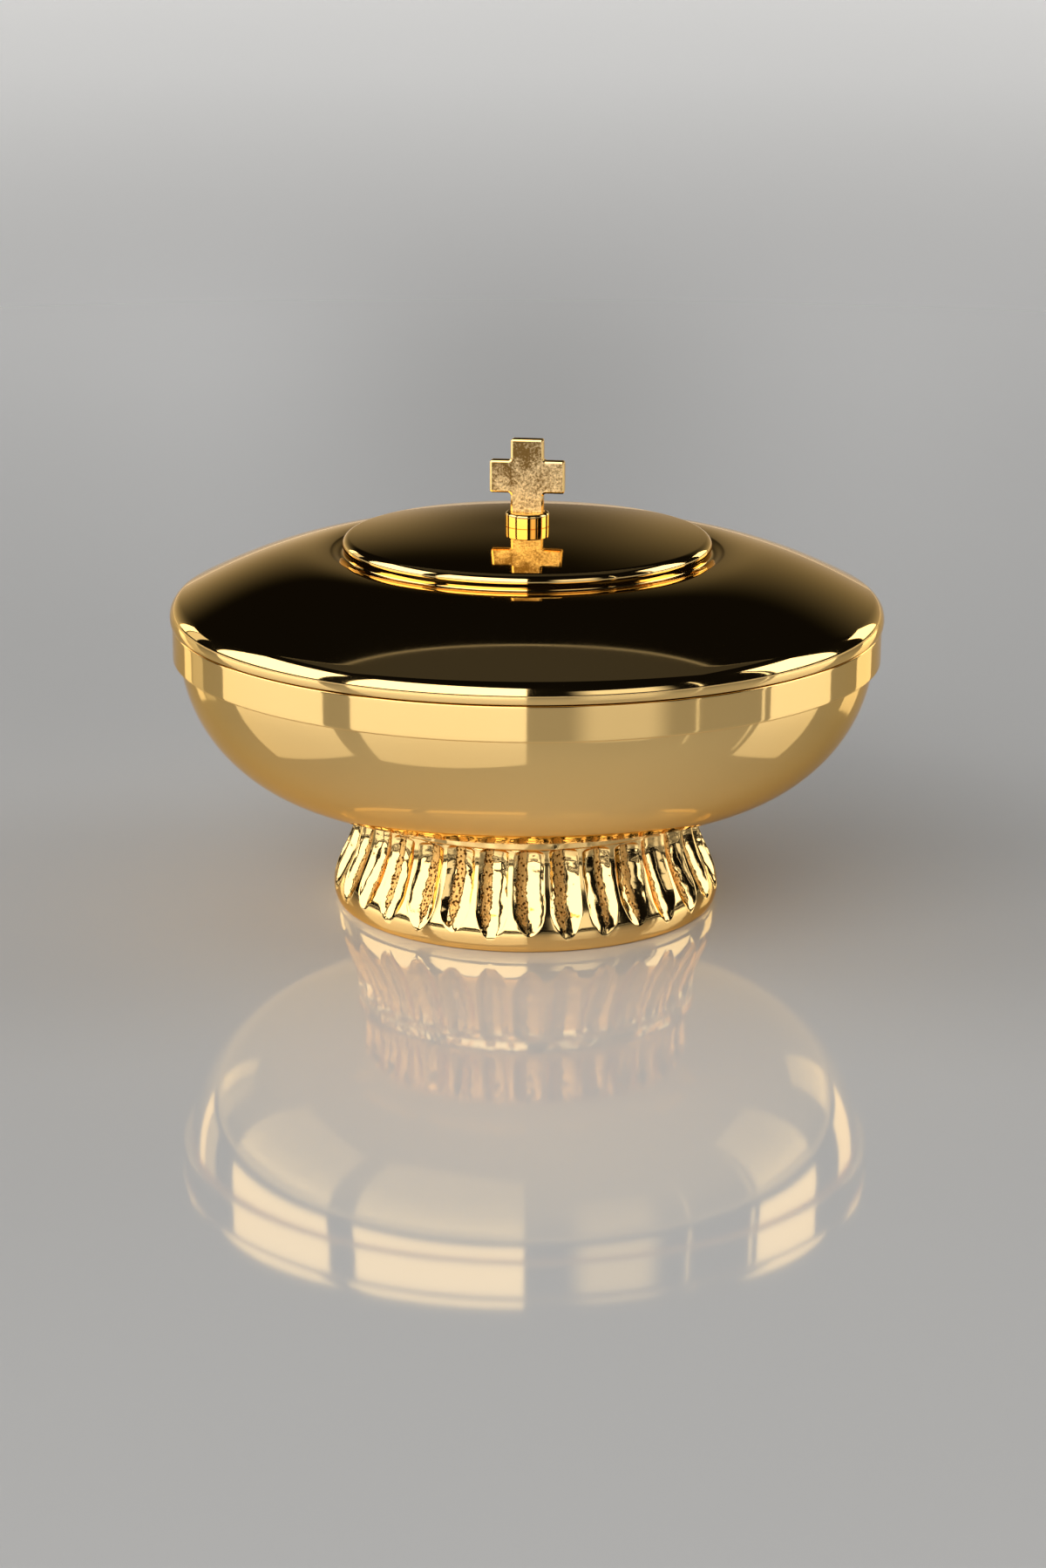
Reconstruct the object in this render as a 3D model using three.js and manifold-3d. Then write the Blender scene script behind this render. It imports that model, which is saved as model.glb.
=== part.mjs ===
// Ciborium: a covered host bowl on a low fluted foot, with a lid that carries a plain cross.
// Millimetres, +Z up. The origin is the centre of the foot's resting face.

import * as THREE from 'three';
import { mergeVertices } from 'three/addons/utils/BufferGeometryUtils.js';
import Module from 'manifold-3d';

const wasm = await Module();
wasm.setup();

// Foot: a hollow casting that swells above its resting face and draws in to a plain top rim
const footHeight = 24.4;
const footTopRadius = 39.3;
const footRimHeight = 2;
const footWaistRadius = 38.8;
const footWaistHeight = 22.1;
const footWaistEase = 8;
const footSwellRadius = 44.2;
const footSwellHeight = 3.7;
const footSwellEase = 5;
const footRestRadius = 42.6;
const footRestWidth = 2.4;
const footWall = 3.2;
const footLedgeWidth = 3.2;
const footLedgeDepth = 3.9;

// Flutes: hollows of round section that run from the waist down to tips of uneven height.
// The lower a tip reaches, the sharper it is.
const fluteCount = 32;
const fluteFirstAngle = 1;
const fluteDepth = 1.6;
const fluteRidgeWidth = 0.85;
const fluteTopMargin = 0.5;
const fluteTopRounding = 2.4;
const fluteTipHeight = 2.9;
const fluteTipVariation = 1.1;
const fluteTipLength = 7.5;
const fluteTipSharpness = 1.5;
const fluteTipSwing = 2.1;

// Bowl: spun sheet, flat in the middle, then three arcs that tighten towards the side
const bowlWall = 1.3;
const bowlFlatRadius = 18.7;
const bowlFloorArc = { radius: 119.7, endSlope: 18.6, steps: 4 };
const bowlShoulderArc = { radius: 28, endSlope: 35.9, steps: 2 };
const bowlSideArc = { radius: 34.1, endSlope: 85.1, steps: 5 };

// Rim band round the bowl's mouth
const bandHeight = 7.8;
const bandThickness = 1.3;
const bandEdgeRounding = 0.35;

// Lid: spun sheet with a rolled rim, a dome, a shallow groove and a raised centre disc
const lidWall = 1.2;
const lidOverhang = 0.5;
const lidRollRadius = 4.4;
const lidRollCentreHeight = 1.3;
const lidRollSlope = 27.4;
const lidDomeRise = 10.1;
const lidGrooveWidth = 4.8;
const lidGrooveDepth = 0.45;
const lidCoveRadius = 1.2;
const discRadius = 41.2;
const discStepHeight = 3.8;
const discEdgeRounding = 1.6;
const discEdgeSlope = 8.1;
const discRise = 2.2;
const discLandRadius = 6.5;

// Locating ring inside the lid
const locatingRingThickness = 1.2;
const locatingRingReach = 5;

// Finial: a collar with the cross let into its top
const collarRadius = 4.95;
const collarHeight = 3.2;
const collarEdgeRounding = 0.6;
const collarSlotDepth = 1;
const collarWeb = 0.7;
const crossSpan = 16.8;
const crossArmWidth = 7.35;
const crossTopArm = 4.85;
const crossFootArm = 4.3;
const crossThickness = 2.5;
const crossCornerRadius = 0.5;
const crossEdgeBevel = 0.3;
const crossTurn = -7;

// Fasteners that pull the finial down on the lid and the foot up against the bowl
const finialThreadRadius = 1.95;
const finialWasherRadius = 5;
const finialWasherThickness = 0.8;
const finialNutFlats = 7;
const finialNutHeight = 3.2;
const bridgePlateThickness = 1.8;
const footThreadRadius = 2.45;
const footFlangeRadius = 6;
const footFlangeThickness = 1;
const footWasherRadius = 6.5;
const footWasherThickness = 1;
const footNutFlats = 8;
const footNutHeight = 4;
const threadEndLength = 1.4;
const threadEndChamfer = 0.5;

// Clearances
const solderGap = 0.3;
const holeGap = 0.3;
const lidSeatGap = 0.3;
const locatingGap = 0.6;

const roundSides = 48;
const smallSides = 24;
const cutterSides = 16;

const toRadians = THREE.MathUtils.degToRad;

// Merges shared corners and hands the closed mesh to the solid modeller
function solidOf(geometry) {
  const bare = geometry.clone();
  bare.deleteAttribute('normal');
  bare.deleteAttribute('uv');
  const merged = mergeVertices(bare);
  const triangles = [];
  for (let k = 0; k < merged.index.count; k += 3) {
    const corners = Array.from(merged.index.array.slice(k, k + 3));
    if (new Set(corners).size === 3) triangles.push(...corners);
  }
  return new wasm.Manifold(new wasm.Mesh({
    numProp: 3,
    vertProperties: new Float32Array(merged.attributes.position.array),
    triVerts: new Uint32Array(triangles),
  }));
}

function geometryOf(solid) {
  const mesh = solid.getMesh();
  const geometry = new THREE.BufferGeometry();
  geometry.setAttribute('position', new THREE.BufferAttribute(mesh.vertProperties, 3));
  geometry.setIndex(new THREE.BufferAttribute(mesh.triVerts, 1));
  return geometry.toNonIndexed();
}

// Sections are lists of [radius, height]. A section's outside runs upwards, its inside back down.
function revolve(section, sides = roundSides) {
  const profile = section.map(([radius, height]) => new THREE.Vector2(radius, height));
  return new THREE.LatheGeometry(profile, sides).rotateX(Math.PI / 2);
}

function revolveRing(section, sides) {
  return revolve([...section, section[0]], sides);
}

function plainRing(innerRadius, outerRadius, bottom, top, sides) {
  return revolveRing([
    [innerRadius, bottom], [outerRadius, bottom], [outerRadius, top], [innerRadius, top],
  ], sides);
}

// Arc in a section. Its angles are measured from straight down, towards larger radius.
function arc([centreRadius, centreHeight], radius, fromAngle, toAngle, steps) {
  return Array.from({ length: steps + 1 }, (_, k) => {
    const angle = toRadians(THREE.MathUtils.lerp(fromAngle, toAngle, k / steps));
    return [centreRadius + radius * Math.sin(angle), centreHeight - radius * Math.cos(angle)];
  });
}

// Curve that leaves its foot, climbing inwards at a slope in degrees, and arrives level at its crest
function easeOver(foot, slope, crest, steps) {
  const bend = foot[0] - (crest[1] - foot[1]) / Math.tan(toRadians(slope));
  const curve = new THREE.QuadraticBezierCurve(
    new THREE.Vector2(...foot), new THREE.Vector2(bend, crest[1]), new THREE.Vector2(...crest));
  return curve.getPoints(steps).map(({ x, y }) => [x, y]);
}

// Moves a line of points sideways, to its left, by one distance
function offsetLine(line, distance) {
  const at = (k) => new THREE.Vector2(...line[THREE.MathUtils.clamp(k, 0, line.length - 1)]);
  return line.map((point, k) => {
    const before = at(k).sub(at(k - 1));
    const after = at(k + 1).sub(at(k));
    if (k === 0) before.copy(after);
    if (k === line.length - 1) after.copy(before);
    const middle = before.normalize().add(after.normalize()).normalize();
    const reach = distance / middle.dot(after);
    return [point[0] - middle.y * reach, point[1] + middle.x * reach];
  });
}

// Reads one coordinate of a line of points where the other, which must not decrease, has a value
function readLine(line, axis, value) {
  const reached = line.findIndex((point) => point[axis] >= value);
  const end = reached < 0 ? line.length - 1 : Math.max(reached, 1);
  const [from, to] = [line[end - 1], line[end]];
  const share = (value - from[axis]) / (to[axis] - from[axis]);
  return THREE.MathUtils.lerp(from[1 - axis], to[1 - axis], share);
}

const heightAt = (line, radius) => readLine(line, 0, radius);
const radiusAt = (line, height) => readLine(line, 1, height);

// Outside of the bowl up to the end of its side arc, with its flat middle at height 0
function bowlOutline() {
  const line = [[0, 0], [bowlFlatRadius, 0]];
  let slope = 0;
  for (const { radius, endSlope, steps } of [bowlFloorArc, bowlShoulderArc, bowlSideArc]) {
    const start = line.at(-1);
    const centre = [
      start[0] - radius * Math.sin(toRadians(slope)),
      start[1] + radius * Math.cos(toRadians(slope)),
    ];
    line.push(...arc(centre, radius, slope, endSlope, steps).slice(1));
    slope = endSlope;
  }
  return line;
}

// The bowl sits on the foot's top rim
const bowlBottom = footHeight + solderGap - heightAt(bowlOutline(), footTopRadius);
const bowlLine = bowlOutline().map(([radius, height]) => [radius, height + bowlBottom]);
const [mouthRadius, bandBottom] = bowlLine.at(-1);
const mouthHeight = bandBottom + bandHeight;
const bandInnerRadius = mouthRadius + solderGap;
const bandRadius = bandInnerRadius + bandThickness;

function bowlShell() {
  const outside = [...bowlLine, [mouthRadius, mouthHeight]];
  return revolve([...outside, ...offsetLine(outside, bowlWall).reverse()]);
}

function rimBand() {
  return revolveRing([
    [bandInnerRadius, bandBottom],
    [bandRadius - bandEdgeRounding, bandBottom],
    [bandRadius, bandBottom + bandEdgeRounding],
    [bandRadius, mouthHeight - bandEdgeRounding],
    [bandRadius - bandEdgeRounding, mouthHeight],
    [bandInnerRadius, mouthHeight],
  ]);
}

const footToe = [0, 30, 60].map((angle) => [
  footRestRadius + (footSwellRadius - footRestRadius) * Math.sin(toRadians(angle)),
  footSwellHeight * (1 - Math.cos(toRadians(angle))),
]);
const footSide = new THREE.CubicBezierCurve(
  new THREE.Vector2(footSwellRadius, footSwellHeight),
  new THREE.Vector2(footSwellRadius, footSwellHeight + footSwellEase),
  new THREE.Vector2(footWaistRadius, footWaistHeight - footWaistEase),
  new THREE.Vector2(footWaistRadius, footWaistHeight),
).getPoints(5).map(({ x, y }) => [x, y]);
const footLine = [...footToe, ...footSide];

// The foot's hollow opens downwards and ends under a ledge that the bridge plate bears on
const footHollow = offsetLine(footSide, footWall).slice(2);
const ledgeUnderside = footHeight - footLedgeDepth;
const hollowRadius = radiusAt(footHollow, ledgeUnderside);
const ledgeRadius = hollowRadius - footLedgeWidth;

function footBody() {
  const underBowl = (radius) => [radius, heightAt(bowlLine, radius) - solderGap];
  return revolveRing([
    [footRestRadius - footRestWidth, 0],
    ...footLine,
    [footTopRadius, footHeight - footRimHeight],
    underBowl(footTopRadius),
    underBowl(ledgeRadius),
    [ledgeRadius, ledgeUnderside],
    [hollowRadius, ledgeUnderside],
    ...footHollow.filter(([, height]) => height < ledgeUnderside).reverse(),
  ], 2 * fluteCount);
}

// One flute's cutter: a spindle that stands outside the foot, bent to the foot's side, so that its
// inner edge cuts the flute's round hollow. Towards both ends it draws back until it only touches.
function fluteCutter(index) {
  const swing = Math.cos(fluteTipSwing * index);
  const tip = fluteTipHeight + fluteTipVariation * swing;
  const top = footWaistHeight - fluteTopMargin;
  const sharpness = fluteTipSharpness * (1 - swing / 3);
  const standOff = (height) => {
    const pitch = 2 * Math.PI * radiusAt(footLine, height) / fluteCount;
    const halfWidth = (pitch - fluteRidgeWidth) / 2;
    return (halfWidth ** 2 - fluteDepth ** 2) / (2 * fluteDepth);
  };

  const stations = [
    ...[0, 0.2, 0.55, 1].map((share) =>
      [tip + share * fluteTipLength, (1 - (1 - share) ** 2) ** sharpness]),
    [(tip + fluteTipLength + top - fluteTopRounding) / 2, 1],
    ...[0, 0.7, 1].map((share) =>
      [top - fluteTopRounding * (1 - share), Math.sqrt(1 - share ** 2)]),
  ];
  const edge = stations.map(([height, depthShare]) =>
    [standOff(height) + fluteDepth * depthShare, height]);
  const cutter = revolve([[0, tip], ...edge, [0, top]], cutterSides);

  const corners = cutter.attributes.position;
  for (let k = 0; k < corners.count; k++) {
    const height = corners.getZ(k);
    corners.setX(k, corners.getX(k) + radiusAt(footLine, height) + standOff(height));
  }
  return cutter.rotateZ(toRadians(index * 360 / fluteCount));
}

function footRing() {
  let foot = solidOf(footBody());
  for (let index = 0; index < fluteCount; index++) {
    foot = foot.subtract(solidOf(fluteCutter(index)));
  }
  return geometryOf(foot).rotateZ(toRadians(fluteFirstAngle - 90));
}

// Lid, measured up from the face that the lid rests on
const lidBottom = mouthHeight + lidSeatGap;
const rollCentre = [bandRadius + lidOverhang - lidRollRadius, lidBottom + lidRollCentreHeight];
const rollStart = THREE.MathUtils.radToDeg(Math.acos(lidRollCentreHeight / lidRollRadius));
const rollLine = arc(rollCentre, lidRollRadius, rollStart, 180 - lidRollSlope, 4);
const domeFoot = rollLine.at(-1);
const domeCrest = [discRadius + lidGrooveWidth, domeFoot[1] + lidDomeRise];
const grooveHeight = domeCrest[1] - lidGrooveDepth;
const discEdgeCentre = [
  discRadius - discEdgeRounding,
  grooveHeight + discStepHeight - discEdgeRounding * Math.cos(toRadians(discEdgeSlope)),
];
const discEdge = arc(discEdgeCentre, discEdgeRounding, 90, 180 - discEdgeSlope, 3);
const lidTop = discEdge.at(-1)[1] + discRise;
const lidUnderside = lidTop - lidWall;
const finialHoleRadius = finialThreadRadius + holeGap;

const lidOutside = [
  ...rollLine,
  ...easeOver(domeFoot, lidRollSlope, domeCrest, 4).slice(1),
  ...arc([discRadius + lidCoveRadius, grooveHeight + lidCoveRadius], lidCoveRadius, 0, -90, 2),
  ...discEdge,
  ...easeOver(discEdge.at(-1), discEdgeSlope, [discLandRadius, lidTop], 3).slice(1),
  [finialHoleRadius, lidTop],
];
const lidInside = offsetLine(lidOutside, lidWall);

function lidShell() {
  const [[edgeRadius], ...rest] = lidInside;
  return revolveRing([...lidOutside, ...rest.reverse(), [edgeRadius, lidBottom]]);
}

function lidLocatingRing() {
  const outerRadius = mouthRadius - bowlWall - locatingGap;
  const innerRadius = outerRadius - locatingRingThickness;
  const bottom = mouthHeight - locatingRingReach;
  const outwards = [...lidInside].reverse();
  const underLid = (radius) => [radius, heightAt(outwards, radius) - solderGap];
  return revolveRing([
    [innerRadius, bottom], [outerRadius, bottom], underLid(outerRadius), underLid(innerRadius),
  ]);
}

const collarTop = lidTop + collarHeight;
const slotFloor = collarTop - collarSlotDepth;
const boreTop = slotFloor - collarWeb;

function finialCollar() {
  const body = revolve([
    [0, boreTop],
    [finialHoleRadius, boreTop],
    [finialHoleRadius, lidTop],
    [collarRadius, lidTop],
    ...arc([collarRadius - collarEdgeRounding, collarTop - collarEdgeRounding],
      collarEdgeRounding, 90, 180, 3),
    [0, collarTop],
  ], smallSides);
  const slotHeight = 2 * collarSlotDepth;
  const slot = new THREE.BoxGeometry(
    crossArmWidth + 2 * solderGap, crossThickness + 2 * solderGap, slotHeight);
  slot.translate(0, 0, slotFloor + slotHeight / 2);
  return geometryOf(solidOf(body).subtract(solidOf(slot))).rotateZ(toRadians(crossTurn));
}

// Closed outline whose corners are all rounded alike
function roundedOutline(corners, radius) {
  const path = new THREE.Shape();
  const points = corners.map((corner) => new THREE.Vector2(...corner));
  points.forEach((corner, k) => {
    const towards = (other) => other.clone().sub(corner).setLength(radius).add(corner);
    const start = towards(points.at(k - 1));
    const end = towards(points[(k + 1) % points.length]);
    if (k === 0) path.moveTo(start.x, start.y);
    else path.lineTo(start.x, start.y);
    path.quadraticCurveTo(corner.x, corner.y, end.x, end.y);
  });
  path.closePath();
  return path;
}

// Flat plate cross, drawn inside its edge bevel, which the extrusion then adds on every side
function finialCross() {
  const half = crossArmWidth / 2 - crossEdgeBevel;
  const reach = crossSpan / 2 - crossEdgeBevel;
  const foot = slotFloor + solderGap + crossEdgeBevel;
  const armBottom = collarTop + crossFootArm + crossEdgeBevel;
  const armTop = collarTop + crossFootArm + crossArmWidth - crossEdgeBevel;
  const top = armTop + crossTopArm;
  const rightSide = [
    [half, foot], [half, armBottom], [reach, armBottom], [reach, armTop], [half, armTop], [half, top],
  ];
  const leftSide = rightSide.map(([x, height]) => [-x, height]).reverse();
  const plate = new THREE.ExtrudeGeometry(roundedOutline([...rightSide, ...leftSide], crossCornerRadius), {
    depth: crossThickness - 2 * crossEdgeBevel,
    bevelSize: crossEdgeBevel,
    bevelThickness: crossEdgeBevel,
    bevelSegments: 1,
    curveSegments: 3,
  });
  plate.translate(0, 0, crossEdgeBevel - crossThickness / 2);
  return plate.rotateX(Math.PI / 2).rotateZ(toRadians(crossTurn));
}

// Round bar whose lower end is chamfered, as a section that more points can follow
const threadEnd = (radius, bottom) => [
  [0, bottom], [radius - threadEndChamfer, bottom], [radius, bottom + threadEndChamfer],
];

function hexNut(flats, holeRadius, bottom, height) {
  const outline = new THREE.Shape();
  const corners = Array.from({ length: 6 }, (_, k) =>
    new THREE.Vector2(flats / Math.sqrt(3), 0).rotateAround(new THREE.Vector2(), k * Math.PI / 3));
  outline.setFromPoints(corners);
  outline.holes.push(new THREE.Path().absarc(0, 0, holeRadius, 0, 2 * Math.PI, true));
  const nut = new THREE.ExtrudeGeometry(outline, { depth: height, bevelEnabled: false, curveSegments: 8 });
  return nut.translate(0, 0, bottom);
}

const finialNutTop = lidUnderside - finialWasherThickness;
const finialNutBottom = finialNutTop - finialNutHeight;

function finialStud() {
  const top = boreTop - holeGap;
  return revolve([
    ...threadEnd(finialThreadRadius, finialNutBottom - threadEndLength),
    [finialThreadRadius, top], [0, top],
  ], smallSides);
}

const plateBottom = ledgeUnderside - bridgePlateThickness;
const footNutTop = plateBottom - footWasherThickness;
const footNutBottom = footNutTop - footNutHeight;
const footHoleRadius = footThreadRadius + holeGap;

function bowlStud() {
  const flangeUnderside = bowlBottom - footFlangeThickness;
  return revolve([
    ...threadEnd(footThreadRadius, footNutBottom - threadEndLength),
    [footThreadRadius, flangeUnderside], [footFlangeRadius, flangeUnderside],
    [footFlangeRadius, bowlBottom], [0, bowlBottom],
  ], smallSides);
}

const polishedGold = { color: 0xe0a64c, roughness: 0.12, metalness: 1 };
const frostedGold = { color: 0xe3b35c, roughness: 0.42, metalness: 1 };
const castGold = { color: 0xdca244, roughness: 0.3, metalness: 1 };
const plainBrass = { color: 0xc79a4b, roughness: 0.4, metalness: 1 };

const ciborium = new THREE.Group();

function addPiece(name, geometry, finish) {
  const piece = new THREE.Mesh(geometry, new THREE.MeshStandardMaterial(finish));
  piece.name = name;
  ciborium.add(piece);
}

addPiece('lid_shell', lidShell(), polishedGold);
addPiece('lid_locating_ring', lidLocatingRing(), polishedGold);
addPiece('finial_collar', finialCollar(), polishedGold);
addPiece('finial_cross', finialCross(), frostedGold);
addPiece('finial_stud', finialStud(), plainBrass);
addPiece('finial_washer',
  plainRing(finialHoleRadius, finialWasherRadius, finialNutTop, lidUnderside, smallSides), plainBrass);
addPiece('finial_nut',
  hexNut(finialNutFlats, finialHoleRadius, finialNutBottom, finialNutHeight), plainBrass);

addPiece('bowl_shell', bowlShell(), polishedGold);
addPiece('rim_band', rimBand(), polishedGold);
addPiece('foot_ring', footRing(), castGold);
addPiece('foot_bridge_plate',
  plainRing(footHoleRadius, hollowRadius - holeGap, plateBottom, ledgeUnderside, roundSides), plainBrass);
addPiece('bowl_stud', bowlStud(), plainBrass);
addPiece('foot_washer',
  plainRing(footHoleRadius, footWasherRadius, footNutTop, plateBottom, smallSides), plainBrass);
addPiece('foot_nut', hexNut(footNutFlats, footHoleRadius, footNutBottom, footNutHeight), plainBrass);

export default ciborium;
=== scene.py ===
"""Looks of the ciborium: gold-plated bowl, lid and cross on a cast fluted foot.

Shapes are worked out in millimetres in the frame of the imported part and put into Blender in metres.
"""

import math

import bmesh
import bpy
import numpy as np
from mathutils import Matrix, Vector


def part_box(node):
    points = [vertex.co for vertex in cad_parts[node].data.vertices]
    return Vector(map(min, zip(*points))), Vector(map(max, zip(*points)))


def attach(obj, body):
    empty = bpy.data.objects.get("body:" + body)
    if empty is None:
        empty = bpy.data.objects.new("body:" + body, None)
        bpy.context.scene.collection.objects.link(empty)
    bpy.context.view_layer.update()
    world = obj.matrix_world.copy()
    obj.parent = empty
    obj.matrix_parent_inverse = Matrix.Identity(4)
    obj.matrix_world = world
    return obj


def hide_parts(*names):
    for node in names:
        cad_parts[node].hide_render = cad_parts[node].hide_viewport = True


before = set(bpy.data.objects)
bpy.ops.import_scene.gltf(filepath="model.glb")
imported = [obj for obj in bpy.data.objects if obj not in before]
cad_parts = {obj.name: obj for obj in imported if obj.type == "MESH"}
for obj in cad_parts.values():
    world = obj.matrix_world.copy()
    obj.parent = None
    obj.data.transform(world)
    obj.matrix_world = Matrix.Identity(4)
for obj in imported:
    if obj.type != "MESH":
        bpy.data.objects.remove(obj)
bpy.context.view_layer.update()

MM = 0.001
ROUND_SIDES = 256
SMALL_SIDES = 96


# Lines and surfaces

def reach(node):
    """Largest radius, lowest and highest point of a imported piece, in millimetres."""
    low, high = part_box(node)
    return max(high.x, high.y) / MM, low.z / MM, high.z / MM


def arc(centre, radius, start, end, spacing=0.25):
    """Circle arc as [radius, height] points. Its angles run from straight down towards larger radius."""
    steps = max(6, round(radius * math.radians(abs(end - start)) / spacing))
    angle = np.radians(np.linspace(start, end, steps + 1))
    return np.column_stack([centre[0] + radius * np.sin(angle), centre[1] - radius * np.cos(angle)])


def straight(start, end, steps=1):
    """Evenly spaced points from start to end."""
    share = np.linspace(0, 1, steps + 1)[:, None]
    return (1 - share) * np.array(start, float) + share * np.array(end, float)


def curve(corners, steps):
    """Smooth curve drawn by its corners.

    Points at one share of the way between neighbouring corners are taken, then between those, until one is
    left.
    """
    share = np.linspace(0, 1, steps + 1)[:, None]
    points = [np.array(corner, float) + 0 * share for corner in corners]
    while len(points) > 1:
        points = [(1 - share) * here + share * there for here, there in zip(points, points[1:])]
    return points[0]


def ease_over(foot, slope, crest, steps):
    """Curve that leaves its foot inwards at a slope in degrees and arrives level at its crest."""
    bend = (foot[0] - (crest[1] - foot[1]) / math.tan(math.radians(slope)), crest[1])
    return curve((foot, bend, crest), steps)


def join(*lines):
    """One line from several that follow each other, without the points that fall together."""
    points = np.concatenate([np.atleast_2d(line) for line in lines])
    moved = np.linalg.norm(np.diff(points, axis=0), axis=1) > 1e-4
    return points[np.concatenate([[True], moved])]


def beside(line, distance):
    """The line moved to its left: each point goes out along the mean of its two neighbours' directions."""
    along = np.gradient(line, axis=0)
    along /= np.linalg.norm(along, axis=1, keepdims=True)
    return line + distance * np.column_stack([-along[:, 1], along[:, 0]])


def soften(section, cut):
    """Closed section whose sharp corners are each cut back by a small distance on both sides."""
    before = section - np.roll(section, 1, axis=0)
    after = np.roll(section, -1, axis=0) - section
    before /= np.linalg.norm(before, axis=1, keepdims=True)
    after /= np.linalg.norm(after, axis=1, keepdims=True)
    sharp = np.sum(before * after, axis=1) < math.cos(math.radians(25))
    pair = np.stack([section - cut * before * sharp[:, None], section + cut * after * sharp[:, None]], axis=1)
    keep = np.column_stack([np.ones(len(section), bool), sharp])
    return pair[keep]


def surface(name, grid, ring=False, attributes=None, crease=40):
    """Skin over a grid of points, rows by columns, in millimetres.

    Every four neighbours make a face, and the columns close on themselves. With ring set, the last row
    meets the first. Points that fall together, as at a pole, are merged.
    """
    rows, columns = grid.shape[:2]
    number = np.arange(rows * columns).reshape(rows, columns)
    below = number if ring else number[:-1]
    above = np.roll(number, -1, axis=0) if ring else number[1:]
    faces = np.stack([below, np.roll(below, -1, axis=1), np.roll(above, -1, axis=1), above], axis=-1)
    mesh = bpy.data.meshes.new(name)
    mesh.from_pydata((grid * MM).reshape(-1, 3), [], faces.reshape(-1, 4))
    for label, values in (attributes or {}).items():
        data = mesh.attributes.new(label, "FLOAT", "POINT").data
        data.foreach_set("value", values.astype(np.float32).ravel())
    if not ring:
        work = bmesh.new()
        work.from_mesh(mesh)
        bmesh.ops.remove_doubles(work, verts=work.verts, dist=1e-7)
        work.to_mesh(mesh)
        work.free()
    mesh.shade_smooth()
    mesh.set_sharp_from_angle(angle=math.radians(crease))
    piece = bpy.data.objects.new(name, mesh)
    bpy.context.scene.collection.objects.link(piece)
    return piece


def turned_grid(section, sides):
    """Section carried once round the axis: x = radius cos angle, y = radius sin angle, z = height."""
    angle = np.linspace(0, 2 * math.pi, sides, endpoint=False)
    radius, height = section[:, :1], section[:, 1:]
    return np.stack([radius * np.cos(angle), radius * np.sin(angle), height + 0 * angle], axis=-1)


def turned(name, section, sides=ROUND_SIDES, ring=True, crease=40):
    """Turned piece from its section. A section that begins and ends on the axis isn't a ring."""
    return surface(name, turned_grid(section, sides), ring=ring, crease=crease)


def turn(points, degrees):
    """Points turned round the vertical axis."""
    angle = math.radians(degrees)
    x, y, z = np.moveaxis(points, -1, 0)
    return np.stack([x * math.cos(angle) - y * math.sin(angle),
                     x * math.sin(angle) + y * math.cos(angle), z], axis=-1)


# Lid

band_radius, band_bottom, mouth_height = reach("rim_band")
lid_radius, lid_bottom, lid_top = reach("lid_shell")
LID_WALL = 1.2
ROLL_RADIUS = 4.4
DOME_SLOPE = 27.4
GROOVE_DEPTH = 0.5
DISC_EDGE_RADIUS = 1.8
CROWN_SLOPE = 8.1


def lid_line():
    """Outside of the lid from its seat to its bore.

    A rolled rim, a dome that eases from the roll's slope to level, a narrow groove round the disc, and the
    disc: a round edge that is drawn in a little at its foot, and a crown that eases to level.
    """
    seat_drop = 1.3
    roll_centre = (lid_radius - ROLL_RADIUS, lid_bottom + seat_drop)
    seat_angle = math.degrees(math.acos(seat_drop / ROLL_RADIUS))
    roll = arc(roll_centre, ROLL_RADIUS, seat_angle, 180 - DOME_SLOPE)
    crest = (44.5, roll[-1, 1] + 10.1)
    dome = ease_over(roll[-1], DOME_SLOPE, crest, 96)

    groove_radius, groove_height = 41.75, crest[1] - GROOVE_DEPTH
    share = np.linspace(0, 1, 17)[:, None]
    fall = share ** 2 * (3 - 2 * share)
    groove = np.array(crest) + share * [groove_radius - crest[0], 0] - fall * [0, GROOVE_DEPTH]
    cove = arc((groove_radius, groove_height + 0.45), 0.45, 0, -80, 0.08)
    edge = arc((39.75, lid_top - 4.02), DISC_EDGE_RADIUS, 60, 180 - CROWN_SLOPE, 0.1)
    collar_seat, bore = (6.5, lid_top), (2.0, lid_top)
    crown = ease_over(edge[-1], CROWN_SLOPE, collar_seat, 80)
    return join(roll, dome, groove, cove, straight(cove[-1], edge[0], 3), edge, crown,
                straight(collar_seat, bore, 4))


def lid_shell():
    """Spun sheet: the outside line, and beside it the underside, with softened edges."""
    outside = lid_line()
    underside = beside(outside, LID_WALL)[::-2]
    seat = straight((underside[-1, 0], lid_bottom), outside[0], 3)[:-1]
    underside = underside[underside[:, 1] > lid_bottom + 0.05]
    section = soften(join(outside, underside, seat), 0.12)
    return turned("lid_shell_spun", section)


def lid_locating_ring():
    """Plain ring whose top follows the lid's underside and whose lower edge is half round."""
    outer, bottom, _ = reach("lid_locating_ring")
    thickness = 1.2
    middle = outer - thickness / 2
    foot = arc((middle, bottom + thickness / 2), thickness / 2, -90, 90, 0.1)
    underside = beside(lid_line(), LID_WALL)
    underside = underside[underside[:, 0] > 60]
    underside = underside[np.argsort(underside[:, 0])]
    inner = outer - thickness
    top_outer, top_inner = [
        (radius, np.interp(radius, underside[:, 0], underside[:, 1]) - 0.05) for radius in (outer, inner)]
    section = join(foot, straight(foot[-1], top_outer, 12)[1:], straight(top_inner, foot[0], 12)[:-1])
    return turned("lid_locating_ring_soldered", section)


# Finial

CROSS_TURN = -7
CROSS_THICKNESS = 2.5
CROSS_WIDTH = 7.35


def inside_box(angle, half_width, half_depth):
    """Distance from the middle of a rectangle to its edge, in each direction."""
    return np.minimum(half_width / np.maximum(np.abs(np.cos(angle)), 1e-9),
                      half_depth / np.maximum(np.abs(np.sin(angle)), 1e-9))


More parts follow.
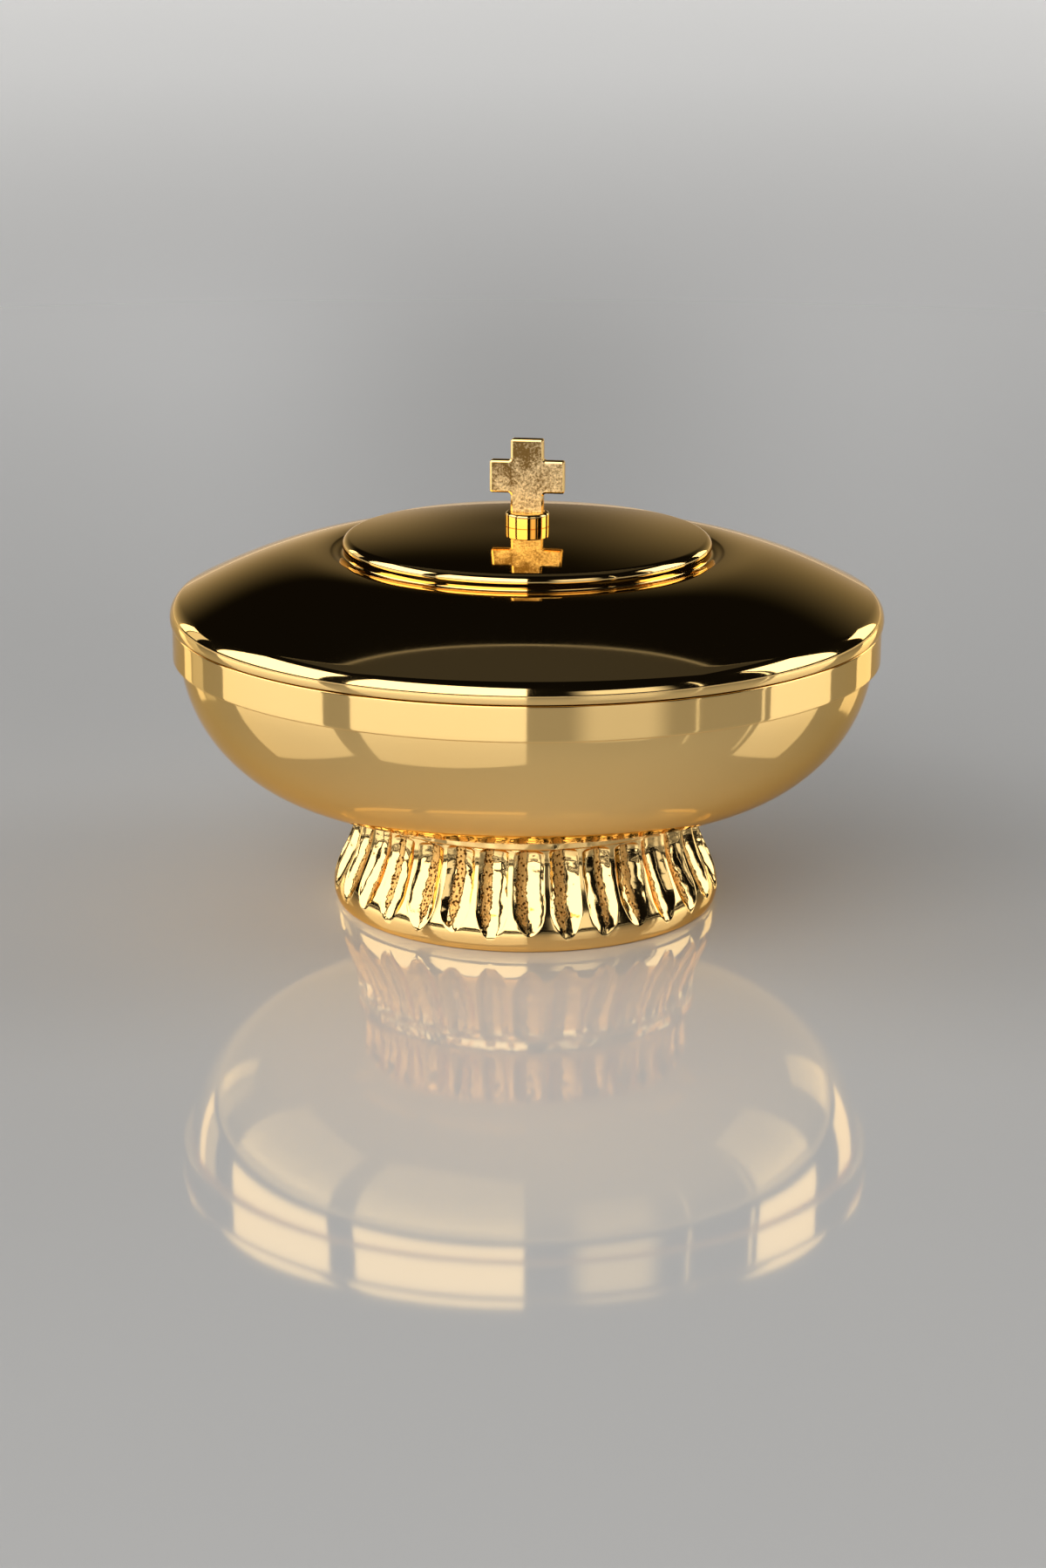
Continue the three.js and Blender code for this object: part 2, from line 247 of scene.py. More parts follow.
def finial_collar():
    """Turned collar with a rounded upper edge, a fine chamfer at its foot and a slot for the cross.

    Each row is a closed curve. The rows run from the bore up the outside as circles, and then down
    into the slot as rectangles.
    """
    _, bottom, top = reach("finial_collar")
    radius, bore, bore_depth, slot_depth = 4.91, 2.0, 1.7, 1.0
    rounding, chamfer = 0.6, 0.1
    angle = np.linspace(0, 2 * math.pi, 2 * SMALL_SIDES, endpoint=False)
    body = join(
        straight((bore, top - bore_depth), (bore, bottom), 2),
        straight((bore, bottom), (radius - chamfer, bottom), 2),
        straight((radius, bottom + chamfer), (radius, top - rounding), 6),
        arc((radius - rounding, top - rounding), rounding, 90, 180, 0.06))
    slot = inside_box(angle, CROSS_WIDTH / 2 + 0.15, CROSS_THICKNESS / 2 + 0.15)
    radii = [np.zeros(len(angle))] + [0 * angle + r for r in body[:, 0]]
    heights = [top - bore_depth] + list(body[:, 1])
    for spread, height in ((chamfer, top), (0.0, top - chamfer), (0.0, top - slot_depth)):
        radii.append(slot + spread)
        heights.append(height)
    radii.append(np.zeros(len(angle)))
    heights.append(top - slot_depth)
    radii = np.array(radii)
    height = np.array(heights)[:, None] + 0 * angle
    grid = np.stack([radii * np.cos(angle), radii * np.sin(angle), height], axis=-1)
    return surface("finial_collar_turned", turn(grid, CROSS_TURN))


def rounded_corners(corners, radius, steps=8):
    """Closed outline whose right-angled corners are quarter circles.

    Each arc is its middle, one radius along both sides from the corner, less radius times
    (sin t of the way in plus cos t of the way out).
    """
    corners = np.array(corners, float)
    back = np.roll(corners, 1, axis=0) - corners
    ahead = np.roll(corners, -1, axis=0) - corners
    back /= np.linalg.norm(back, axis=1, keepdims=True)
    ahead /= np.linalg.norm(ahead, axis=1, keepdims=True)
    angle = np.linspace(0, math.pi / 2, steps + 1)[None, :, None]
    middle = (corners + radius * (back + ahead))[:, None]
    turning = np.sin(angle) * back[:, None] + np.cos(angle) * ahead[:, None]
    return (middle - radius * turning).reshape(-1, 2)


def finial_cross():
    """Plate cross: an outline drawn in from its edge by a bevel on both faces.

    From the outline the bevel turns by a small arc and then runs flat, at 18 degrees to the face.
    """
    _, bottom, top = reach("finial_cross")
    _, _, collar_top = reach("finial_collar")
    half, span = CROSS_WIDTH / 2, 16.8 / 2
    arm_bottom = collar_top + 4.3
    arm_top = arm_bottom + CROSS_WIDTH
    right = [
        (half, bottom), (half, arm_bottom), (span, arm_bottom), (span, arm_top), (half, arm_top), (half, top)]
    left = [(-x, z) for x, z in reversed(right)]
    outline = rounded_corners(right + left, 0.6)
    along = np.roll(outline, -1, axis=0) - np.roll(outline, 1, axis=0)
    along /= np.linalg.norm(along, axis=1, keepdims=True)
    inward = np.column_stack([-along[:, 1], along[:, 0]])

    drawn_in = np.array([0.0, 0.02, 0.07, 0.14, 0.17, 0.43, 0.46])
    set_back = np.array([0.30, 0.20, 0.14, 0.107, 0.097, 0.01, 0.0])
    inset = np.concatenate([drawn_in[::-1], drawn_in])
    depth = np.concatenate([CROSS_THICKNESS / 2 - set_back[::-1], set_back - CROSS_THICKNESS / 2])
    flat = outline + inset[:, None, None] * inward
    y = -depth[:, None] + 0 * flat[..., 0]
    grid = turn(np.stack([flat[..., 0], y, flat[..., 1]], axis=-1), CROSS_TURN)

    rows, columns = grid.shape[:2]
    number = np.arange(rows * columns).reshape(rows, columns)
    below, above = number[:-1], number[1:]
    quads = np.stack([below, above, np.roll(above, -1, axis=1), np.roll(below, -1, axis=1)], axis=-1)
    faces = quads.reshape(-1, 4).tolist() + [number[0].tolist(), number[-1][::-1].tolist()]
    mesh = bpy.data.meshes.new("finial_cross_plate")
    mesh.from_pydata((grid * MM).reshape(-1, 3), [], faces)
    mesh.shade_smooth()
    bevel = np.ones(len(faces), bool)
    bevel[-2:] = False
    mesh.polygons.foreach_set("use_smooth", bevel)
    mesh.polygons.foreach_set("material_index", (~bevel).astype(np.int32))
    piece = bpy.data.objects.new("finial_cross_plate", mesh)
    bpy.context.scene.collection.objects.link(piece)
    return piece


# Fasteners

def threaded(name, radius, pitch, bottom, top, head=None):
    """Threaded bar: its radius falls by a triangle wave of height minus pitch times the share of a turn.

    Its lower end is tapered. head, if given, is a flange's [radius, underside, top].
    """
    depth = 0.55 * pitch
    rows = int((top - bottom) / pitch * 10)
    height = np.linspace(bottom, top, rows)[:, None]
    angle = np.linspace(0, 2 * math.pi, SMALL_SIDES, endpoint=False)[None, :]
    wave = np.abs(2 * ((height / pitch - angle / (2 * math.pi)) % 1) - 1)
    bar = radius - depth * np.clip(1.35 * wave - 0.2, 0, 1)
    bar = np.minimum(bar, radius - 0.5 + (height - bottom))
    if head:
        bar = np.where(height > head[1] - 0.8, radius + 0 * angle, bar)
    grid = np.stack([bar * np.cos(angle), bar * np.sin(angle), height + 0 * angle], axis=-1)
    start = turned_grid(np.array([(0.0, bottom)]), SMALL_SIDES)
    if head:
        flange = join((head[0] - 0.1, head[1]), (head[0], head[1] + 0.1), (head[0], head[2]), (0.0, head[2]))
        kept = grid[height[:, 0] < head[1]]
        collar = turned_grid(np.array([(radius, head[1])]), SMALL_SIDES)
        return surface(name, np.concatenate([start, kept, collar, turned_grid(flange, SMALL_SIDES)]))
    end = turned_grid(np.array([(0.0, top)]), SMALL_SIDES)
    return surface(name, np.concatenate([start, grid, end]))


def hexagon(angle, flats):
    """Distance from the middle of a hexagon to its side, in each direction."""
    return flats / 2 / np.cos((angle + math.pi / 6) % (math.pi / 3) - math.pi / 6)


def hex_nut(name, flats, bore, bottom, top):
    """Hexagon nut: its rim is a hexagon cut by a cone of 30 degrees above and below, its bore countersunk."""
    angle = np.linspace(0, 2 * math.pi, 2 * SMALL_SIDES, endpoint=False)
    side = hexagon(angle + math.pi / 6, flats)
    level = 0 * angle
    sink = 0.35
    ring = flats / 2 * 0.96
    drop = (side - ring) * math.tan(math.radians(30))
    radii = [level + bore, level + bore + sink, level + ring, side,
             side, level + ring, level + bore + sink, level + bore]
    heights = [level + bottom + sink, level + bottom, level + bottom, bottom + drop,
               top - drop, level + top, level + top, level + top - sink]
    radii, heights = np.array(radii), np.array(heights)
    grid = np.stack([radii * np.cos(angle), radii * np.sin(angle), heights], axis=-1)
    return surface(name, grid, ring=True, crease=20)


def washer(name, inner, outer, bottom, top, sides=SMALL_SIDES):
    """Flat ring with softened edges."""
    section = np.concatenate([
        straight((inner, bottom), (outer, bottom), 4), straight((outer, top), (inner, top), 4)])
    return turned(name, soften(section, 0.12), sides, crease=25)


def finial_fasteners():
    """Stud, washer and nut that hold the finial."""
    _, low, high = reach("finial_stud")
    stud = threaded("finial_stud_threaded", 1.95, 0.7, low, high)
    outer, low, high = reach("finial_washer")
    ring = washer("finial_washer_turned", 2.05, outer, low, high)
    _, low, high = reach("finial_nut")
    nut = hex_nut("finial_nut_hexagon", 7, 1.97, low, high)
    return stud, ring, nut


def foot_fasteners():
    """Stud, washer, nut and bridge plate that hold the foot."""
    outer, low, high = reach("bowl_stud")
    stud = threaded("bowl_stud_threaded", 2.45, 0.8, low, high, head=(outer, high - 1, high))
    outer, low, high = reach("foot_washer")
    ring = washer("foot_washer_turned", 2.55, outer, low, high)
    _, low, high = reach("foot_nut")
    nut = hex_nut("foot_nut_hexagon", 8, 2.47, low, high)
    outer, low, high = reach("foot_bridge_plate")
    plate = washer("foot_bridge_plate_turned", 2.75, outer, low, high, ROUND_SIDES)
    return stud, ring, nut, plate


# Bowl and rim band

mouth_radius, bowl_bottom, _ = reach("bowl_shell")
BOWL_WALL = 1.3


def bowl_line():
    """Outside of the bowl: flat in the middle, then three arcs, of 119.7, 28 and 34.1 mm, up to the mouth."""
    line = [straight((0, bowl_bottom), (18.7, bowl_bottom), 24)]
    slope = 0.0
    for radius, end_slope in ((119.7, 18.6), (28.0, 35.9), (34.1, 85.1)):
        start = line[-1][-1]
        turned_by = math.radians(slope)
        centre = (start[0] - radius * math.sin(turned_by), start[1] + radius * math.cos(turned_by))
        line.append(arc(centre, radius, slope, end_slope, 0.6))
        slope = end_slope
    line.append(straight(line[-1][-1], (mouth_radius, mouth_height), 10))
    return join(*line)


def bowl_shell():
    """Spun sheet: the outside line, a rounded lip, and the inside beside the outside line."""
    outside = bowl_line()
    inside = beside(outside, BOWL_WALL)[::-1]
    lip = arc((mouth_radius - BOWL_WALL / 2, mouth_height - BOWL_WALL / 2), BOWL_WALL / 2, 90, 270, 0.1)
    outside = outside[outside[:, 1] < lip[0, 1]]
    inside = inside[(inside[:, 1] < lip[0, 1]) & (inside[:, 0] > 0.01)]
    section = join(outside, lip, inside, (0.0, bowl_bottom + BOWL_WALL))
    return turned("bowl_shell_spun", section, ring=False)


def rim_band():
    """Plain band with rounded outer edges, close round the bowl's mouth."""
    inner, rounding = mouth_radius + 0.12, 0.35
    side = band_radius - rounding
    low, high = band_bottom + rounding, mouth_height - rounding
    section = join(
        (inner, band_bottom), arc((side, low), rounding, 0, 90, 0.05),
        arc((side, high), rounding, 90, 180, 0.05), (inner, mouth_height))
    upright = straight((band_radius, low), (band_radius, high), 16)[1:-1]
    middle = len(section) // 2
    section = np.concatenate([section[:middle], upright, section[middle:]])
    return turned("rim_band_soldered", section, 2 * ROUND_SIDES)


# Foot

FLUTES = 32
FLUTE_DEPTH = 1.6
FLUTE_PITCH = 2 * math.pi / FLUTES
RIDGE_WIDTH = 0.75
FIRST_FLUTE = math.radians(1 - 90)
STRIP_DEPTH = 0.09
RIM_WAVE = 0.07
TOE_HEIGHT = 3.7
FOOT_WALL = 3.2
LEDGE_WIDTH = 3.2


def foot_line():
    """Outside of the foot before it is fluted, as radii and heights.

    A quarter-round toe, a smooth curve from 44.2 mm at the swell in to 38.8 mm at the waist, and a plain rim.
    """
    angle = np.radians(np.linspace(0, 90, 9))
    toe = np.column_stack([42.6 + 1.6 * np.sin(angle), TOE_HEIGHT * (1 - np.cos(angle))])
    side = curve([(44.2, TOE_HEIGHT), (44.2, 8.7), (38.8, 14.1), (38.8, 22.1)], 80)
    return join(toe, side, arc((38.95, 22.5), 0.35, 60, 90, 0.05), (39.3, 22.6), (39.3, 24.3))


def uneven(angle, height, wavelength, seed, terms=48):
    """Smooth unevenness of about -1 to 1: a sum of waves that each close round the foot."""
    foot_radius = 41
    draw = np.random.default_rng(seed)
    turns = np.round(draw.normal(0, 2 * math.pi * foot_radius / wavelength / 1.6, terms))
    rise = draw.normal(0, 2 * math.pi / wavelength / 1.6, terms)
    phase = draw.uniform(0, 2 * math.pi, terms)
    total = 0 * angle * height
    for count, climb, start in zip(turns, rise, phase):
        total = total + np.cos(count * angle + climb * height + start)
    return total / math.sqrt(terms)


def flute_share(height, number):
    """Share of its full depth that a flute has at each height.

    From its tip it grows by (1 - (1 - s) squared) to the power of the tip's sharpness, and under the rim it
    ends short, by a quarter circle. The lower a tip reaches, the sharper it is.
    """
    swing = np.cos(2.1 * number)
    rise = np.clip((height - 2.9 - 1.1 * swing) / 7.5, 0, 1)
    rounding = np.clip((height - 21.0 - 0.3 * np.sin(1.7 * number)) / 1.0, 0, 1)
    return (1 - (1 - rise) ** 2) ** (1.5 * (1 - swing / 3)) * np.sqrt(1 - rounding ** 2)


def fluted_side(height, radius):
    """The foot's outside, rows by columns, with two shares: pitted, in the flutes' rough strips, and fluted.

    A flute is what a round bar would leave whose middle stands outside the foot. At a direction a away
    from the flute's own, the bar's surface lies at distance C cos a - sqrt(R R - C C sin a sin a), where C
    is the distance of its middle from the axis and R its radius. Columns follow the flutes' edges.
    """
    inner = np.sin(np.radians(np.linspace(-90, 90, 21)))
    across = np.tile(np.concatenate([[-1, -1], inner, [1, 1, 1]]), FLUTES)
    beyond = np.tile(np.concatenate([[-0.36, -0.18], 0 * inner, [0.18, 0.36, 0.5]]), FLUTES)
    number = np.repeat(np.arange(FLUTES), len(across) // FLUTES)

    share = flute_share(height, number)
    half_width = (FLUTE_PITCH * radius - RIDGE_WIDTH) / 2
    stand_off = (half_width ** 2 - FLUTE_DEPTH ** 2) / (2 * FLUTE_DEPTH)
    middle = radius + stand_off
    bar = stand_off + FLUTE_DEPTH * share
    edge = np.arccos(np.clip((radius ** 2 + middle ** 2 - bar ** 2) / (2 * radius * middle), -1, 1))
    edge = np.maximum(edge, FLUTE_PITCH * (0.05 + 0.25 * np.clip((height - 12) / 8, 0, 1)))
    away = across * edge + beyond * (FLUTE_PITCH - 2 * edge)

    inside = np.maximum(bar ** 2 - (middle * np.sin(away)) ** 2, 0)
    cut = np.where(inside > 0, np.maximum(radius - middle * np.cos(away) + np.sqrt(inside), 0), 0)
    cut = cut * (share > 0)

    draw = np.random.default_rng(3)
    lean = draw.uniform(-0.5, 0.4, FLUTES)[number]
    width = draw.uniform(0.22, 0.62, FLUTES)[number]
    pitted = np.clip(1 - np.abs(across - lean) / width, 0, 1) * share * (cut > 0.05)
    fluted = np.clip(cut / 0.25, 0, 1)

    angle = number * FLUTE_PITCH + away
    lumps = fluted * (0.05 * uneven(angle, height, 3.0, 5) + 0.02 * uneven(angle, height, 1.3, 8))
    rim = np.clip((height - 21.9) / 0.4, 0, 1) * np.clip((24.3 - height) / 0.3, 0, 1)
    rim_waves = RIM_WAVE * rim * (uneven(angle, height, 3.6, 11) - 1)
    depth = np.hypot(cut, 0.05) - 0.05 + STRIP_DEPTH * np.clip(3 * pitted, 0, 1)
    skin = radius - depth + np.minimum(lumps, 0.9 * depth) + rim_waves
    sway = 0.0035 * np.sin(height / 2.9 + 2.4 * number)
    wander = sway * np.minimum(2 * share, 1) * (1 - 2 * np.abs(beyond))
    angle = angle + wander + FIRST_FLUTE
    grid = np.stack([skin * np.cos(angle), skin * np.sin(angle), height + 0 * angle], axis=-1)
    return grid, angle, pitted, fluted


def foot_ring():
    """Cast foot: fluted outside, plain and hollow inside, with a ledge for the bridge plate and a resting face."""
    _, _, top = reach("foot_ring")
    line = foot_line()
    height = np.unique(np.concatenate([
        TOE_HEIGHT * (1 - np.cos(np.radians(np.linspace(0, 60, 8)))), np.arange(1.9, 5.6, 0.17),
        np.arange(5.6, 19, 0.35), np.arange(19, 22.6, 0.17), np.arange(22.6, 24.2, 0.25)]))
    radius = np.interp(height, line[:, 1], line[:, 0])
    outside, angle, pitted, fluted = fluted_side(height[:, None], radius[:, None])

    hollow = beside(line[(line[:, 1] > 4.5) & (line[:, 1] < 22)], FOOT_WALL)
    ledge = top - 3.9
    wall = hollow[hollow[:, 1] < ledge][::-6]
    ledge_outer = np.interp(ledge, hollow[:, 1], hollow[:, 0])
    ledge_inner = ledge_outer - LEDGE_WIDTH
    bowl = bowl_line()
    under_bowl = [(r, np.interp(r, bowl[:, 0], bowl[:, 1]) - 0.3) for r in (39.25, 36.0, ledge_inner)]
    inside = join(
        *under_bowl, (ledge_inner, ledge), (ledge_outer, ledge), wall, (40.4, 0.3), (40.5, 0.0), (42.5, 0.0))
    plain = angle[-1]
    spread = inside[:, :1]
    inner_rows = np.stack([
        spread * np.cos(plain), spread * np.sin(plain), inside[:, 1:] + 0 * plain], axis=-1)
    smooth = np.zeros(inner_rows.shape[:2])
    return surface("foot_ring_cast", np.concatenate([outside, inner_rows]), ring=True, attributes={
        "pitted": np.concatenate([pitted, smooth]), "fluted": np.concatenate([fluted, smooth])}, crease=50)


# Finishes

GOLD = (0.95, 0.64, 0.25, 1)
BRASS = (0.72, 0.55, 0.30, 1)
METAL_EDGE = (1.0, 0.8, 0.5, 1)


def add(tree, kind, inputs=None, **settings):
    """A node with its settings and inputs. An input that is a socket is linked, any other is a value."""
    new = tree.nodes.new(kind)
    for name, value in settings.items():
        setattr(new, name, value)
    for name, value in (inputs or {}).items():
        socket = new.inputs[name]
        if isinstance(value, bpy.types.NodeSocket):
            tree.links.new(value, socket)
        else:
            socket.default_value = value
    return new


def maths(tree, operation, *values, clamp=False):
    """Result of one sum with up to three values."""
    node = add(tree, "ShaderNodeMath", dict(enumerate(values)), operation=operation, use_clamp=clamp)
    return node.outputs["Value"]


def ramp(tree, value, start, end, low=0.0, high=1.0, shape="LINEAR"):
    """Value that goes from low to high while another goes from start to end."""
    limits = {"From Min": start, "From Max": end, "To Min": low, "To Max": high}
    node = add(tree, "ShaderNodeMapRange", {"Value": value, **limits}, interpolation_type=shape)
    return node.outputs["Result"]


def noise(tree, place, scale, detail, roughness=0.5):
    """Cloudy noise between 0 and 1. roughness is the share of its fine detail."""
    node = add(tree, "ShaderNodeTexNoise", {
        "Vector": place, "Scale": scale, "Detail": detail, "Roughness": roughness})
    return node.outputs["Fac"]


def tinted(tree, share, low, high):
    """Colour between low and high by a share from 0 to 1."""
    return add(tree, "ShaderNodeMix", {0: share, 6: low, 7: high}, data_type="RGBA").outputs[2]


def effect(name, inputs, outputs):
    """An empty effect: a node group with named inputs and outputs, and the two ends to build between.

    All of them are plain values, except for an input without a value of its own, which is a place.
    """
    group = bpy.data.node_groups.new(name, "ShaderNodeTree")
    for label, value in inputs.items():
        kind = "NodeSocketVector" if value is None else "NodeSocketFloat"
        socket = group.interface.new_socket(label, in_out="INPUT", socket_type=kind)
        if value is not None:
            socket.default_value = value
    for label in outputs:
        group.interface.new_socket(label, in_out="OUTPUT", socket_type="NodeSocketFloat")
    return group, group.nodes.new("NodeGroupInput").outputs, group.nodes.new("NodeGroupOutput").inputs


def polish_haze():
    """Roughness that drifts slowly over a polished face, with faint hairlines from the buffing cloth."""
    inputs = {"Vector": None, "Roughness": 0.08, "Haze": 0.04, "Hairlines": 0.03}
    group, given, result = effect("polish_haze", inputs, ["Roughness"])
    drift = noise(group, given["Vector"], 60.0, 3.0)
    stretch = add(group, "ShaderNodeMapping", {
        "Vector": given["Vector"], "Scale": (900, 900, 60), "Rotation": (0.4, 0.3, 0)})
    hairlines = ramp(group, noise(group, stretch.outputs["Vector"], 1.0, 4.0), 0.62, 0.75)
    haze = maths(group, "MULTIPLY_ADD", drift, given["Haze"], given["Roughness"])
    group.links.new(maths(group, "MULTIPLY_ADD", hairlines, given["Hairlines"], haze), result["Roughness"])
    return group


def pits():
    """Small round pits and grains of a casting.

    Height is about 1.4 on the skin and 0.4 in a pit, and Depth goes from 0 on the skin to 1 in a pit.
    """
    group, given, result = effect("pits", {"Vector": None, "Scale": 1600.0}, ["Height", "Depth"])
    place = given["Vector"]
    bend = add(group, "ShaderNodeTexNoise", {"Vector": place, "Scale": 900.0, "Detail": 3.0})
    shift = (0.0006, 0.0006, 0.0006)
    offset = add(group, "ShaderNodeVectorMath", {0: bend.outputs["Color"], 1: shift}, operation="MULTIPLY")
    moved = add(group, "ShaderNodeVectorMath", {0: place, 1: offset.outputs["Vector"]}, operation="ADD")
    cells = add(group, "ShaderNodeTexVoronoi", {"Vector": moved.outputs["Vector"], "Scale": given["Scale"]})
    skin = ramp(group, cells.outputs["Distance"], 0.18, 0.42)
    grain = noise(group, place, 2600.0, 4.0)
    group.links.new(maths(group, "MULTIPLY_ADD", grain, 0.8, skin), result["Height"])
    group.links.new(maths(group, "SUBTRACT", 1.0, skin), result["Depth"])
    return group


EFFECTS = {"polish_haze": polish_haze(), "pits": pits()}


def use(tree, name, inputs):
    """One of the shared effects, placed with this material's own values."""
    return add(tree, "ShaderNodeGroup", inputs, node_tree=EFFECTS[name]).outputs


def finish(name, colour, roughness, metallic=1.0):
    """A material with its shader and the object's own coordinates. Metal stays warm at a grazing angle."""
    material = bpy.data.materials.new(name)
    material.use_nodes = True
    tree = material.node_tree
    shader = tree.nodes["Principled BSDF"].inputs
    shader["Base Color"].default_value = colour
    shader["Roughness"].default_value = roughness
    shader["Metallic"].default_value = metallic
    if metallic:
        shader["Specular Tint"].default_value = METAL_EDGE
    place = tree.nodes.new("ShaderNodeTexCoord").outputs["Object"]
    return material, tree, shader, place


def raise_by(tree, shader, height, distance):
    """A bump under the shader's normal. distance is what a height of 1 stands for, in metres."""
    bump = add(tree, "ShaderNodeBump", {"Height": height, "Distance": distance, "Strength": 1.0})
    tree.links.new(bump.outputs["Normal"], shader["Normal"])


def polished_gold():
    """Mirror-polished plating whose colour and polish drift a little."""
    material, tree, shader, place = finish("polished_gold_plate", GOLD, 0.07)
    haze = use(tree, "polish_haze", {"Vector": place, "Roughness": 0.03, "Haze": 0.05, "Hairlines": 0.03})
    tree.links.new(haze["Roughness"], shader["Roughness"])
    drift = noise(tree, place, 22.0, 2.0)
    colour = tinted(tree, drift, (0.94, 0.62, 0.23, 1), (0.96, 0.66, 0.27, 1))
    tree.links.new(colour, shader["Base Color"])
    return material


def frosted_gold():
    """Plated face with a satin, mottled frosting, made darker towards the top and one side by painted shade."""
    material, tree, shader, place = finish("frosted_gold_plate", GOLD, 0.35)
    mottle = noise(tree, place, 1900.0, 4.0, 0.7)
    cloud = noise(tree, place, 260.0, 3.0)
    part = add(tree, "ShaderNodeSeparateXYZ", {"Vector": place}).outputs
    # Painted shade: the frosting darkens towards the top and the left by where it stands; cloud and mottle are its
    # own uneven tone.
    climb = maths(tree, "MULTIPLY_ADD", part["X"], -0.45, part["Z"])
    painted_shade_top_left = ramp(tree, climb, 0.090, 0.107, -0.04, 0.26)
    cloud_and_shade = maths(tree, "MULTIPLY_ADD", cloud, 0.5, painted_shade_top_left)
    spots = maths(tree, "SUBTRACT", mottle, maths(tree, "ADD", cloud_and_shade, 0.24))
    bright = ramp(tree, spots, -0.2, 0.14)
    colour = tinted(tree, bright, (0.17, 0.10, 0.03, 1), (1.0, 0.78, 0.44, 1))
    tree.links.new(colour, shader["Base Color"])
    tree.links.new(ramp(tree, cloud, 0.0, 1.0, 0.24, 0.44), shader["Roughness"])
    raise_by(tree, shader, mottle, 0.00005)
    return material


def cast_gold():
    """Plated casting: polished ridges and base, and down each flute a sunken, pitted strip with ragged edges.

    The surface's height is in millimetres: about minus 0.06 in a strip and minus 0.26 in its pits, plus slight
    hammering in the flutes.
    """
    material, tree, shader, place = finish("cast_gold_plate", GOLD, 0.1)
    strip = add(tree, "ShaderNodeAttribute", attribute_name="pitted").outputs["Fac"]
    fluted = add(tree, "ShaderNodeAttribute", attribute_name="fluted").outputs["Fac"]
    ragged = noise(tree, place, 620.0, 5.0, 0.72)
    mask = ramp(tree, maths(tree, "MULTIPLY_ADD", ragged, 1.3, strip), 0.92, 1.12)
    border = maths(tree, "MULTIPLY", mask, maths(tree, "SUBTRACT", 1.0, mask))
    pit = use(tree, "pits", {"Vector": place, "Scale": 1350.0})
    haze = use(tree, "polish_haze", {"Vector": place, "Roughness": 0.05, "Haze": 0.08, "Hairlines": 0.05})

    # Painted shade: the pits and the ragged border of each sunken strip are darkened nearly to black.
    holes = maths(tree, "MULTIPLY", pit["Depth"], mask)
    pit_and_edge_shade = maths(tree, "MULTIPLY_ADD", border, 4.0, holes, clamp=True)
    clean = tinted(tree, mask, GOLD, (0.86, 0.50, 0.15, 1))
    tree.links.new(tinted(tree, pit_and_edge_shade, clean, (0.06, 0.03, 0.008, 1)), shader["Base Color"])
    tree.links.new(maths(tree, "MULTIPLY_ADD", mask, 0.25, haze["Roughness"]), shader["Roughness"])

    hammered = maths(tree, "MULTIPLY", noise(tree, place, 420.0, 2.0), fluted)
    grain = maths(tree, "MULTIPLY_ADD", pit["Height"], 0.2, -0.34)
    sunk = maths(tree, "MULTIPLY", grain, mask)
    raise_by(tree, shader, maths(tree, "MULTIPLY_ADD", hammered, 0.05, sunk), MM)
    return material


def plain_brass():
    """Machined brass: rings left by the tool round the axis, and a faint cloudy dulling of its colour."""
    material, tree, shader, place = finish("plain_brass_machined", BRASS, 0.3)
    flat = add(tree, "ShaderNodeVectorMath", {0: place, 1: (1, 1, 0)}, operation="MULTIPLY")
    radius = add(tree, "ShaderNodeVectorMath", {0: flat.outputs["Vector"]}, operation="LENGTH")
    rings = add(tree, "ShaderNodeTexNoise", {
        "W": maths(tree, "MULTIPLY", radius.outputs["Value"], 9000.0), "Scale": 1.0, "Detail": 3.0},
        noise_dimensions="1D").outputs["Fac"]
    cloud = noise(tree, place, 180.0, 4.0)
    colour = tinted(tree, cloud, (0.60, 0.43, 0.20, 1), (0.80, 0.62, 0.34, 1))
    tree.links.new(colour, shader["Base Color"])
    tree.links.new(ramp(tree, rings, 0.0, 1.0, 0.22, 0.42), shader["Roughness"])
    raise_by(tree, shader, rings, 0.00002)
    return material


# Assembly

POLISHED, FROSTED, CAST, MACHINED = polished_gold(), frosted_gold(), cast_gold(), plain_brass()


def dress(piece, node, body, slot, *materials):
    """Gives a piece its finish and its body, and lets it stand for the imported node."""
    for material in materials:
        piece.data.materials.append(material)
    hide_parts(node)
    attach(piece, body)


dress(lid_shell(), "lid_shell", "lid", "polished_gold", POLISHED)
dress(lid_locating_ring(), "lid_locating_ring", "lid", "polished_gold", POLISHED)
dress(finial_collar(), "finial_collar", "lid", "polished_gold", POLISHED)
dress(finial_cross(), "finial_cross", "lid", "frosted_gold", POLISHED, FROSTED)
for piece, node in zip(finial_fasteners(), ("finial_stud", "finial_washer", "finial_nut")):
    dress(piece, node, "lid", "plain_brass", MACHINED)

dress(bowl_shell(), "bowl_shell", "base", "polished_gold", POLISHED)
dress(rim_band(), "rim_band", "base", "polished_gold", POLISHED)
dress(foot_ring(), "foot_ring", "base", "cast_gold", CAST)
for piece, node in zip(foot_fasteners(), ("bowl_stud", "foot_washer", "foot_nut", "foot_bridge_plate")):
    dress(piece, node, "base", "plain_brass", MACHINED)


# Floor, light and camera

